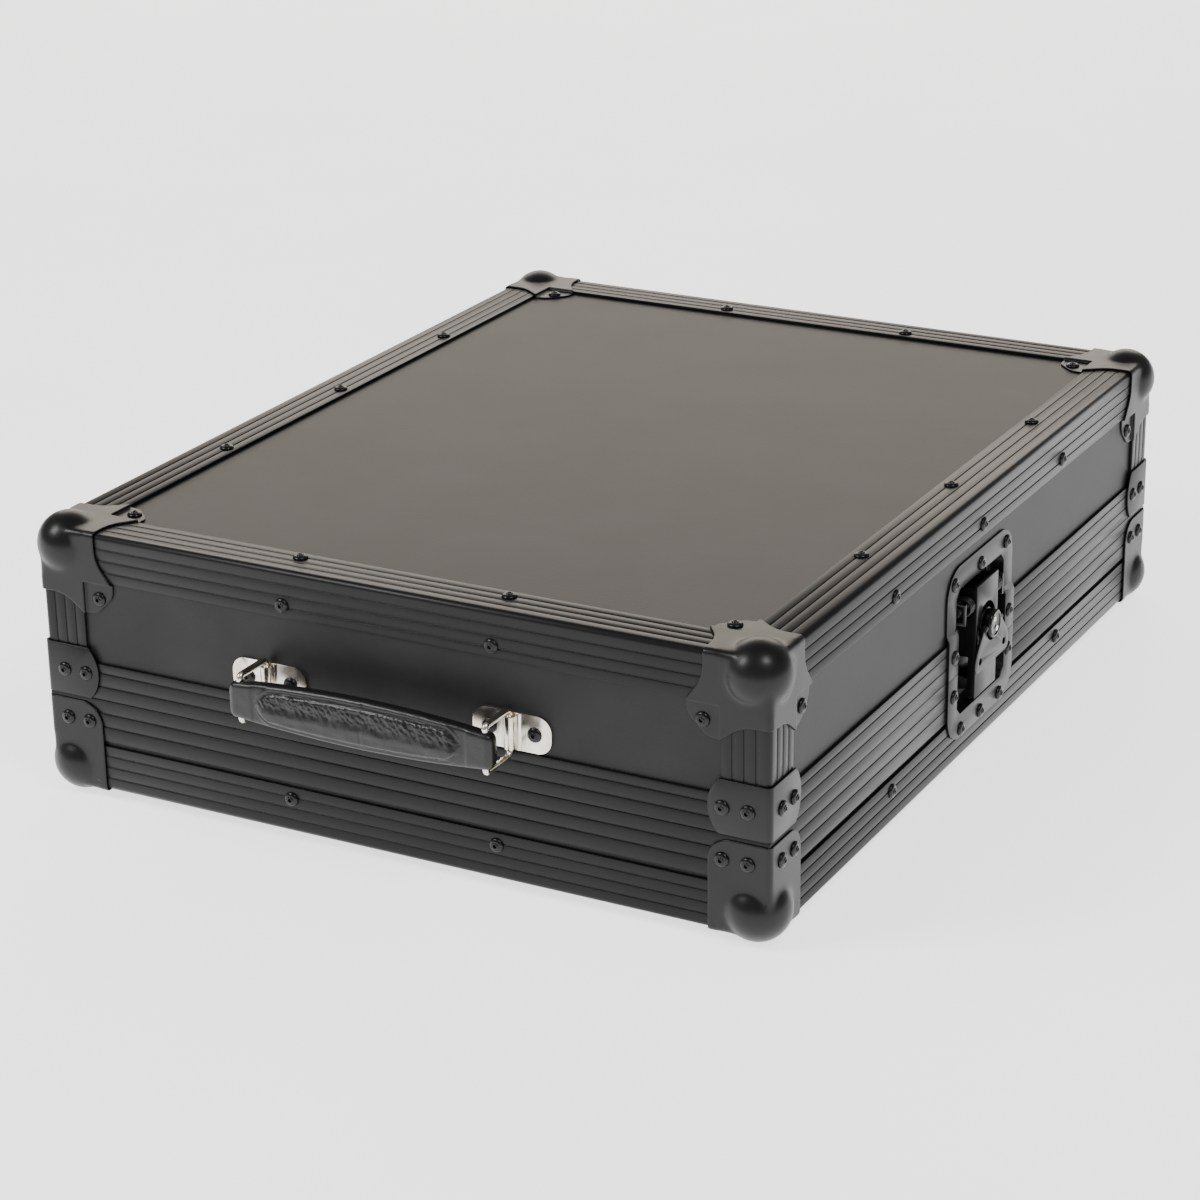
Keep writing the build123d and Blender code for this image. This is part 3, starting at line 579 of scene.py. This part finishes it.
def makeSpindleBody(form):
    shaft = turnedForm(form["shaft"], form["sides"], "shaft")
    stud = shifted(turnedForm(form["stud"], form["studSides"], "stud"), 0, -form["studDrop"])
    whole = joined([shaft, stud], "spindle")
    deselectAll()
    bpy.ops.mesh.primitive_cylinder_add(
        vertices=form["boreSides"], radius=form["boreRadius"] * mm,
        depth=form["boreLength"] * mm, location=(0, 0, form["boreLevel"] * mm),
        rotation=(0, math.pi / 2, 0))
    drill = bpy.context.object
    settle(drill)
    cutOut(whole, drill)
    breakEdges(whole, form["edge"], angle=form["edgeAngle"])
    return whole


def makePinEnds(form):
    # the bare riveted ends of the two pins that hold the hub
    tilt = math.radians(form["pinEndTilt"])
    ends = []
    for way in (1, -1):
        end = turnedForm(form["pinEnd"], form["pinEndSides"], "pinEnd")
        ends.append(shifted(end, -way * form["pinEndOffset"] * math.sin(tilt),
                            way * form["pinEndOffset"] * math.cos(tilt)))
    return joined(ends, "pinEnds")


def makeSpindles():
    body = makeSpindleBody(spindleForm)
    pins = makePinEnds(spindleForm)
    y, z = spindleForm["hub"]
    for side, way in (("right", 1), ("left", -1)):
        # its own Z becomes the row's X, its X the row's Z
        turn = Matrix(((0, 0, way, 0), (0, 1, 0, y * mm), (1, 0, 0, z * mm), (0, 0, 0, 1)))
        node = f"latch_{side}_spindle"
        piece = copyOf(body, turn)
        smooth(piece, 40)
        finishNode(piece, glossBlack, node, "_turned")
        piece = copyOf(pins, turn)
        piece.name = node + "_pin_ends"
        smooth(piece, 30)
        finishPiece(piece, nickel, node, "nickel_steel")
    for model in (body, pins):
        bpy.data.objects.remove(model)


makeSpindles()
print("spindles turned")


# torsion springs on the cross pin
springForm = {"pin": (236.0, 94.5), "coil": 5.0, "wire": 0.75, "pitch": 2.3, "turns": 3,
              "start": 18.45, "leg": 9.0, "legLean": -0.4, "legBend": 0.2, "wireSides": 12,
              "steps": 36, "endReach": 2.2, "endBand": 2.0, "firstSide": -4, "followSide": 2}


def springWay(spring, end):
    # the leg runs on from the coil's end, away from the turn beside it
    points = [vertex.co for vertex in spring.data.vertices]
    low, high = min(point.y for point in points), max(point.y for point in points)
    band, firstSide, followSide = (springForm[key] * mm
                                   for key in ("endBand", "firstSide", "followSide"))
    near = [point for point in points
            if (point.y < low + band if end == 0 else point.y > high - band)]
    first = [point.z for point in near if point.x < firstSide]
    follow = [point.z for point in near if firstSide < point.x < followSide]
    return -1 if sum(follow) / max(len(follow), 1) > sum(first) / max(len(first), 1) else 1


def extrudeBy(x, y, z):
    bpy.ops.mesh.extrude_region_move(TRANSFORM_OT_translate={"value": (x, y, z)})


def drawLeg(spring, end, form):
    levels = [vertex.co.y for vertex in spring.data.vertices]
    level = min(levels) if end == 0 else max(levels)
    reach = form["endReach"] * form["wire"] * mm
    selectEdges(spring, lambda edge: edge.is_boundary and abs(middleOf(edge).y - level) < reach)
    rise = form["leg"] * mm * springWay(spring, end)
    extrudeBy(form["legLean"] * mm, 0, rise * form["legBend"])
    extrudeBy(0, 0, rise * (1 - form["legBend"]))
    bpy.ops.mesh.edge_face_add()
    objectMode()


def makeSprings():
    form = springForm
    deselectAll()
    bpy.ops.mesh.primitive_circle_add(vertices=form["wireSides"], radius=form["wire"] * mm,
                                      location=(-form["coil"] * mm, 0, 0))
    spring = bpy.context.object
    settle(spring)
    steps = form["steps"] * form["turns"]
    applyModifier(spring, "SCREW", axis="Y", angle=math.tau * form["turns"], steps=steps,
                  render_steps=steps, screw_offset=form["pitch"] * form["turns"] * mm,
                  use_normal_calculate=True)
    for end in (0, 1):
        drawLeg(spring, end, form)
    turnOutwards(spring)
    smooth(spring, 60)
    x, z = form["pin"]
    place = Matrix.Translation((x * mm, form["start"] * mm, z * mm))
    for side, way in (("right", 1), ("left", -1)):
        twins = [copyOf(spring, Matrix.Diagonal((way, out, 1, 1)) @ place) for out in (1, -1)]
        piece = joined(twins, "springs")
        smooth(piece, 60)
        finishNode(piece, springSteel, f"latch_{side}_springs", "_wound")
    bpy.data.objects.remove(spring)


makeSprings()
print("springs wound")


# carrying handle: wire rings, brackets and the padded grip
handleForm = {"span": 80.0, "pivot": -299.78, "gripLine": -326.78, "level": 92.0}
ringForm = {"height": 28.0, "wire": 2.0, "wireSteps": 6, "bend": 4.4, "gripBend": 2.4,
            "bendSteps": 8, "cornerReach": 12}


def atBothEnds(piece, material, name, ending):
    # one copy of the model at each end of the handle
    for side, way in (("left", -1), ("right", 1)):
        twin = copyOf(piece, Matrix.Translation((way * handleForm["span"] * mm, 0, 0)))
        finishNode(twin, material, f"{name}_{side}", ending)
    bpy.data.objects.remove(piece)


def makeRings():
    form = ringForm
    pivot, gripLine = handleForm["pivot"], handleForm["gripLine"]
    middle = (pivot + gripLine) / 2 * mm
    deselectAll()
    bpy.ops.mesh.primitive_plane_add(size=1)
    loop = bpy.context.object
    loop.scale = (form["height"] * mm, (pivot - gripLine) * mm, 1)
    loop.rotation_euler = (0, math.pi / 2, 0)
    loop.location = (0, middle, handleForm["level"] * mm)
    settle(loop)
    for way, bend in ((1, form["bend"]), (-1, form["gripBend"])):  # tight at the grip
        editMode(loop, "DESELECT", "VERT")
        grid = bmesh.from_edit_mesh(loop.data)
        for vertex in grid.verts:
            vertex.select_set((vertex.co.y - middle) * way > form["cornerReach"] * mm)
        bpy.ops.mesh.bevel(offset=bend * mm, segments=form["bendSteps"], affect="VERTICES")
    bpy.ops.mesh.select_all(action="SELECT")
    bpy.ops.mesh.delete(type="ONLY_FACE")
    objectMode()
    bpy.ops.object.convert(target="CURVE")
    loop.data.bevel_depth = form["wire"] * mm
    loop.data.bevel_resolution = form["wireSteps"]
    bpy.ops.object.convert(target="MESH")
    smooth(loop, 60)
    atBothEnds(loop, nickel, "handle_ring", "_bent")


bracketForm = {"width": 50.0, "height": 22.5, "sheet": 1.5, "end": 9.0, "endSteps": 10,
               "panel": -296.0, "barrel": 3.38, "barrelHeight": 19.4, "barrelSides": 40,
               "saddleBack": 0.4, "fold": 2.4, "foldHeight": 21.9, "foldShape": (0.9, 0.62, 1),
               "foldOut": 0.6, "foldForward": 1.0, "foldSides": 32, "bore": 2.15,
               "boreLength": 60, "boreSides": 32, "edge": 0.25, "edgeAngle": 40}


def blockAt(size, y):
    bpy.ops.mesh.primitive_cube_add(size=1, location=(0, y, 0))
    block = bpy.context.object
    block.scale = size
    settle(block)
    return block


def rodAt(radius, height, sides, x, y):
    bpy.ops.mesh.primitive_cylinder_add(vertices=sides, radius=radius, depth=height,
                                        location=(x, y, 0))
    return bpy.context.object


def makeBrackets():
    # a nickel plate with round ends, its middle pressed out into a tube round the ring's wire;
    # made a thousand times too large, because the exact union is safer so, and then brought down
    form = bracketForm
    pivot, panel, barrel = handleForm["pivot"], form["panel"], form["barrel"]
    deselectAll()
    plate = blockAt((form["width"], form["sheet"], form["height"]), panel - form["sheet"] / 2)
    selectEdges(plate, lambda edge: abs(wayOf(edge).y) > 0.9)
    bpy.ops.mesh.bevel(offset=form["end"], segments=form["endSteps"], affect="EDGES")
    objectMode()
    deselectAll()
    parts = [rodAt(barrel, form["barrelHeight"], form["barrelSides"], 0, pivot)]
    parts.append(blockAt((2 * barrel, abs(pivot - panel) - 2 * form["saddleBack"],
                          form["barrelHeight"]), (pivot + panel) / 2 - form["saddleBack"]))
    for way in (-1, 1):  # the folds at its sides, where the sheet turns out of the plate
        fold = rodAt(form["fold"], form["foldHeight"], form["foldSides"],
                     way * (barrel + form["foldOut"]), panel - form["foldForward"])
        fold.scale = form["foldShape"]
        settle(fold)
        parts.append(fold)
    for part in parts:
        applyModifier(plate, "BOOLEAN", object=part, operation="UNION", solver="EXACT")
        bpy.data.objects.remove(part)
    cutOut(plate, rodAt(form["bore"], form["boreLength"], form["boreSides"], 0, pivot))
    plate.scale = (mm, mm, mm)
    plate.location = (0, 0, handleForm["level"] * mm)
    settle(plate)
    breakEdges(plate, form["edge"], angle=form["edgeAngle"])
    smooth(plate, 40)
    atBothEnds(plate, nickel, "handle_bracket", "_pressed")


# the grip's strap, in mm: x along it from its middle, z up from its middle line
gripForm = {"end": 86.0, "endHeight": 20.5, "midHeight": 30.0, "endRound": 4.0, "endThin": 0.45,
            "strap": 4.3, "squareness": 5.0, "step": 0.8, "around": 150, "finePoints": 2000,
            "faceFrom": 0.55, "faceBlend": 0.4, "hole": 2.35, "holeSides": 28}
# the padded strip between the stitch rows: a puckered slope above a rolled ridge
padForm = {"core": 67.0, "margin": 4.0, "point": 9.0, "pointCurve": 0.55, "rise": 3.3,
           "side": 2.4, "endFade": 6, "endCurve": 0.6, "slopeFrom": 0.42, "slopeGain": 0.5,
           "crest": -2.6, "crestWidth": 3.2, "crestRise": 0.55}
# puckers: each grain says how many of them there are to a mm, along the strap and up it
puckerForm = {"lean": 0.8, "calmLine": 1.6, "calmWidth": 0.8, "pullReach": 4.5,
              "crease": 0.75, "creaseBase": 0.4, "creaseGrain": (0.62, 0.22),
              "small": 0.7, "smallBase": 0.5, "smallGrain": (1.1, 0.6),
              "swell": 0.4, "swellGrain": (0.1, 0.2)}
seamForm = {"sewn": 0.5, "sewnWidth": 0.7, "foldRise": 0.42, "foldPlace": 2.4, "foldWidth": 1.0,
            "wrap": 70.0, "wrapRise": 0.5, "wrapGroove": 0.35, "wrapWidth": 0.4,
            "join": 4.0, "joinSway": 0.5, "swayTurn": 0.3, "joinGroove": 0.3, "joinWidth": 0.45,
            "hide": 0.14, "hideGrain": (0.2, 0.25)}
stitchForm = {"pitch": 3.5, "length": 2.4, "width": 0.42, "segments": 8, "rings": 6,
              "lift": 0.1, "endGap": 1.5, "probe": 0.5}


def bell(distance, width):
    return math.exp(-(distance / width) ** 2)


def unevenness(x, z, grain, seed):
    return noise.noise(Vector((x * grain[0], z * grain[1], seed)))


def endShare(x):
    # 0 along the strap, growing to 1 over its rounded end
    return max(0, abs(x) - (gripForm["end"] - gripForm["endRound"])) / gripForm["endRound"]


def gripHalf(x):
    # half of the strap's height, on the arc that its edges follow
    rise = (gripForm["midHeight"] - gripForm["endHeight"]) / 2
    share = min(abs(x) / gripForm["end"], 1)
    half = gripForm["endHeight"] / 2 + rise * (1 - share * share)
    return half - gripForm["endRound"] * (1 - math.sqrt(max(0, 1 - endShare(x) ** 2)))


def coreHalf(x):
    # half height of the padded strip, pointed at both ends
    left = padForm["core"] - abs(x)
    if left <= 0:
        return 0
    narrowing = min(1, left / padForm["point"]) ** padForm["pointCurve"]
    return (gripHalf(x) - padForm["margin"]) * narrowing


def padRise(x, z, core, share, full):
    slope = 1
    if z > padForm["crest"]:
        slope = min(1, max(0, (core - z) / (core - padForm["crest"])))
    dome = padForm["rise"] * full * math.sqrt(1 - (1 - share) ** 2)
    ridge = padForm["crestRise"] * full * share * bell(z - padForm["crest"], padForm["crestWidth"])
    return dome * (padForm["slopeFrom"] + padForm["slopeGain"] * slope) + ridge


def puckers(x, z, inside, share, full, front):
    # creases that the stitches pull into the padding, calm under the ridge
    form = puckerForm
    calm = 1 / (1 + math.exp((padForm["crest"] + form["calmLine"] - z) / form["calmWidth"]))
    pull = math.exp(-inside / form["pullReach"])
    lean = x + form["lean"] * z  # the creases lean as the leather was rolled
    crease = unevenness(lean, z, form["creaseGrain"], 3.1 if front else 9.7)
    small = unevenness(lean, z, form["smallGrain"], 5.3 if front else 1.9)
    swell = unevenness(x, z, form["swellGrain"], 7.7)
    return full * share * (calm * (form["crease"] * crease * (form["creaseBase"] + pull)
                                   + form["small"] * small * (form["smallBase"] + pull))
                           + form["swell"] * swell)


def gripSkin(x, z, front):
    # how far the leather stands out from the strap's face
    form = seamForm
    rise = 0
    core = coreHalf(x)
    if core > 0:
        inside = core - abs(z)
        share = min(1, max(0, inside) / padForm["side"])
        full = min(1, (padForm["core"] - abs(x)) / padForm["endFade"]) ** padForm["endCurve"]
        rise += padRise(x, z, core, share, full)
        rise -= form["sewn"] * bell(inside, form["sewnWidth"])
        if inside > 0:
            rise += puckers(x, z, inside, share, full, front)
        else:  # the folded edge beside the seam
            rise += form["foldRise"] * bell(inside + form["foldPlace"], form["foldWidth"])
    past = abs(x) - form["wrap"]  # the ends are wrapped once more
    rise += form["wrapRise"] * min(1, max(0, past) / form["wrapWidth"])
    rise -= form["wrapGroove"] * bell(past, form["wrapWidth"])
    sway = form["joinSway"] * math.sin(z * form["swayTurn"])  # where the cover's ends meet
    rise -= form["joinGroove"] * bell(x - form["join"] - sway, form["joinWidth"])
    return rise + form["hide"] * unevenness(x, z, form["hideGrain"], 2.2)


def gripSection():
    # strap's rounded section, evenly spaced: share of the height and of the thickness
    power = 2 / gripForm["squareness"]
    fine = []
    for i in range(gripForm["finePoints"]):
        turn = math.tau * i / gripForm["finePoints"]
        high, deep = math.sin(turn), math.cos(turn)
        fine.append((math.copysign(abs(high) ** power, high),
                     math.copysign(abs(deep) ** power, deep)))
    tall, thick = gripForm["midHeight"] / 2, gripForm["strap"]
    runs = [0]
    for a, b in zip(fine, fine[1:] + fine[:1]):
        runs.append(runs[-1] + math.hypot((b[0] - a[0]) * tall, (b[1] - a[1]) * thick))
    points, i = [], 0
    for k in range(gripForm["around"]):
        want = runs[-1] * k / gripForm["around"]
        while runs[i + 1] < want:
            i += 1
        points.append(fine[i % len(fine)])
    return points


def gripPoint(x, high, deep):
    form = gripForm
    over = endShare(x)
    thick = form["strap"] * (form["endThin"] + (1 - form["endThin"])
                             * math.sqrt(max(0, 1 - over ** 2)))
    z = gripHalf(x) * high
    face = max(0, min(1, (abs(deep) - form["faceFrom"]) / form["faceBlend"]))
    skin = face * gripSkin(x, z, deep < 0) * (1 - over)
    y = thick * deep + math.copysign(skin, deep)
    return (x * mm, (handleForm["gripLine"] + y) * mm, (handleForm["level"] + z) * mm)


def makeGrip():
    form = gripForm
    section = gripSection()
    count = int(2 * form["end"] / form["step"])
    grid = bmesh.new()
    rings = []
    for i in range(count + 1):
        x = -form["end"] + 2 * form["end"] * i / count
        x = math.copysign(min(abs(x), form["end"] - 0.02), x)
        rings.append([grid.verts.new(gripPoint(x, high, deep)) for high, deep in section])
    for one, two in zip(rings, rings[1:]):
        for k in range(len(one)):
            grid.faces.new((one[k], one[k - 1], two[k - 1], two[k]))
    grid.faces.new(rings[0])
    grid.faces.new(list(reversed(rings[-1])))
    bmesh.ops.recalc_face_normals(grid, faces=grid.faces)
    mesh = bpy.data.meshes.new("gripCover")
    grid.to_mesh(mesh)
    grid.free()
    cover = bpy.data.objects.new("handle_grip_cover", mesh)
    bpy.context.scene.collection.objects.link(cover)
    for way in (-1, 1):  # the rings' holes
        deselectAll()
        bpy.ops.mesh.primitive_cylinder_add(
            vertices=form["holeSides"], radius=form["hole"] * mm, depth=40 * mm,
            location=(way * handleForm["span"] * mm, handleForm["gripLine"] * mm,
                      handleForm["level"] * mm))
        cutOut(cover, bpy.context.object)
    smooth(cover, 55)
    finishPiece(cover, leather, "handle_grip", "grip_leather", "handle_grip")


def makeStitches():
    form = stitchForm
    deselectAll()
    bpy.ops.mesh.primitive_uv_sphere_add(segments=form["segments"], ring_count=form["rings"],
                                         radius=1)
    model = bpy.context.object
    model.scale = (form["length"] / 2 * mm, form["width"] * mm, form["width"] * mm)
    settle(model)
    count = int(2 * (padForm["core"] - form["endGap"]) / form["pitch"])
    copies = []
    for front in (True, False):
        for row in (-1, 1):
            for i in range(count):
                x = (i - (count - 1) / 2) * form["pitch"]
                z = row * coreHalf(x)
                slope = (row * coreHalf(x + form["probe"]) - z) / form["probe"]
                out = gripForm["strap"] + gripSkin(x, z, front) + form["lift"]
                place = Vector((x, handleForm["gripLine"] + (-out if front else out),
                                handleForm["level"] + z)) * mm
                tilt = Matrix.Rotation(-math.atan(slope), 4, "Y")
                copies.append(copyOf(model, Matrix.Translation(place) @ tilt))
    rows = joined(copies, "handle_grip_stitches")
    smooth(rows, 60)
    finishPiece(rows, thread, "handle_grip", "grip_leather")
    bpy.data.objects.remove(model)


makeRings()
makeBrackets()
makeGrip()
makeStitches()
print("handle made")


# foam lining
foamForm = {"edge": 1.2, "edgeSteps": 3}


def makeFoams():
    for node in ("base_foam", "lid_foam"):
        piece = nodeCopy(node, node + "_cut")
        breakEdges(piece, foamForm["edge"], foamForm["edgeSteps"])
        smooth(piece, 50)
        finishNode(piece, foam, node, "_cut")


makeFoams()
print("foam made")


# dome rivets: a low dome with a raised collar round the hole that the mandrel leaves
rivetForm = {"sides": 20,
             "profile": [(0, 4.4), (0.35, 4.5), (0.9, 4.3), (1.4, 3.75), (1.75, 3.0),
                         (1.88, 2.35), (1.85, 2.15), (2.15, 2.0), (2.38, 1.6), (2.36, 1.25),
                         (1.9, 1.05), (1.1, 0.9)]}


def islandsOf(node):
    # the points of each separate solid in a node
    grid = bmesh.new()
    grid.from_mesh(frame["nodes"][node].data)
    bmesh.ops.remove_doubles(grid, verts=grid.verts, dist=merging["distance"])
    left = set(grid.verts)
    found = []
    while left:
        group, edge = set(), [left.pop()]
        while edge:
            vertex = edge.pop()
            group.add(vertex)
            for link in vertex.link_edges:
                other = link.other_vert(vertex)
                if other in left:
                    left.discard(other)
                    edge.append(other)
        found.append([vertex.co.copy() for vertex in group])
    grid.free()
    return found


def rivetSeat(points):
    # the head's height is its shortest side, and its seat is wider than its top
    low = Vector([min(p[i] for p in points) for i in range(3)])
    high = Vector([max(p[i] for p in points) for i in range(3)])
    axis = min(range(3), key=lambda i: high[i] - low[i])
    middle = (low + high) / 2
    spread = {}
    for level in (low[axis], high[axis]):
        spread[level] = max((p - middle).length for p in points
                            if abs(p[axis] - level) < 0.01 * mm)
    seat = max(spread, key=spread.get)
    normal = Vector((0, 0, 0))
    normal[axis] = 1 if seat == low[axis] else -1
    middle[axis] = seat
    return middle, normal


def makeRivets():
    model = turnedForm(rivetForm["profile"], rivetForm["sides"], "rivet")
    smooth(model, 50)
    for node in ("lid_rivets", "base_rivets"):
        copies = []
        for points in islandsOf(node):
            seat, normal = rivetSeat(points)
            turn = normal.to_track_quat("Z", "Y").to_matrix().to_4x4()
            spin = Matrix.Rotation(random.uniform(0, math.tau), 4, "Z")
            copies.append(copyOf(model, Matrix.Translation(seat) @ turn @ spin))
        finishNode(joined(copies, "heads"), rivetBlack, node, "_domed")
    bpy.data.objects.remove(model)


makeRivets()
print("rivets made")


# ball corners
ballForm = {"radius": 19.5 * mm, "inset": 12.8 * mm, "segments": 64, "rings": 32,
            "voxel": 0.62 * mm, "smoothing": 5, "blendFrom": 17.5 * mm, "blendTo": 27.0 * mm,
            "blending": 90, "keep": 0.4}


def makeBallCorner(node, cornerPoint, inward):
    # pressed in one piece, so its ball flows into the plates
    form = ballForm
    plates = nodeCopy(node, "cornerPlates")
    for axis in range(3):
        roundCorners(plates, axis)
    centre = cornerPoint + inward * form["inset"]
    deselectAll()
    bpy.ops.mesh.primitive_uv_sphere_add(segments=form["segments"], ring_count=form["rings"],
                                         radius=form["radius"], location=centre)
    ball = bpy.context.object
    settle(ball)
    corner = joined([plates, ball], "ballCorner")
    corner.data.remesh_voxel_size = form["voxel"]
    bpy.ops.object.voxel_remesh()
    applyModifier(corner, "SMOOTH", factor=0.5, iterations=form["smoothing"])
    zone = corner.vertex_groups.new(name="blend")
    middle = (form["blendFrom"] + form["blendTo"]) / 2
    for vertex in corner.data.vertices:
        far = (vertex.co - centre).length
        if form["blendFrom"] < far < form["blendTo"]:
            weight = 1 - (abs(far - middle) / (form["blendTo"] - middle)) ** 3
            zone.add([vertex.index], weight, "REPLACE")
    applyModifier(corner, "SMOOTH", factor=0.5, iterations=form["blending"], vertex_group="blend")
    corner.vertex_groups.clear()
    applyModifier(corner, "DECIMATE", ratio=form["keep"])
    smooth(corner, 60)
    return corner


def makeBallCorners():
    # modelled once for the lid and once for the base, front left, and mirrored to the others
    left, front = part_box("base_angle_left")[0].x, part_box("base_angle_front")[0].y
    levels = {"lid": (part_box("lid_angle_front")[1].z, -1),
              "base": (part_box("base_angle_left")[0].z, 1)}
    for part, (level, way) in levels.items():
        first = makeBallCorner(f"{part}_ball_corner_front_left", Vector((left, front, level)),
                               Vector((1, 1, way)))
        for end, sy in (("front", 1), ("back", -1)):
            for side, sx in (("left", 1), ("right", -1)):
                mirror = Matrix.Diagonal((sx, sy, 1, 1))
                piece = first if (sx, sy) == (1, 1) else copyOf(first, mirror)
                finishNode(piece, coated, f"{part}_ball_corner_{end}_{side}", "_pressed")


makeBallCorners()
print("ball corners made")
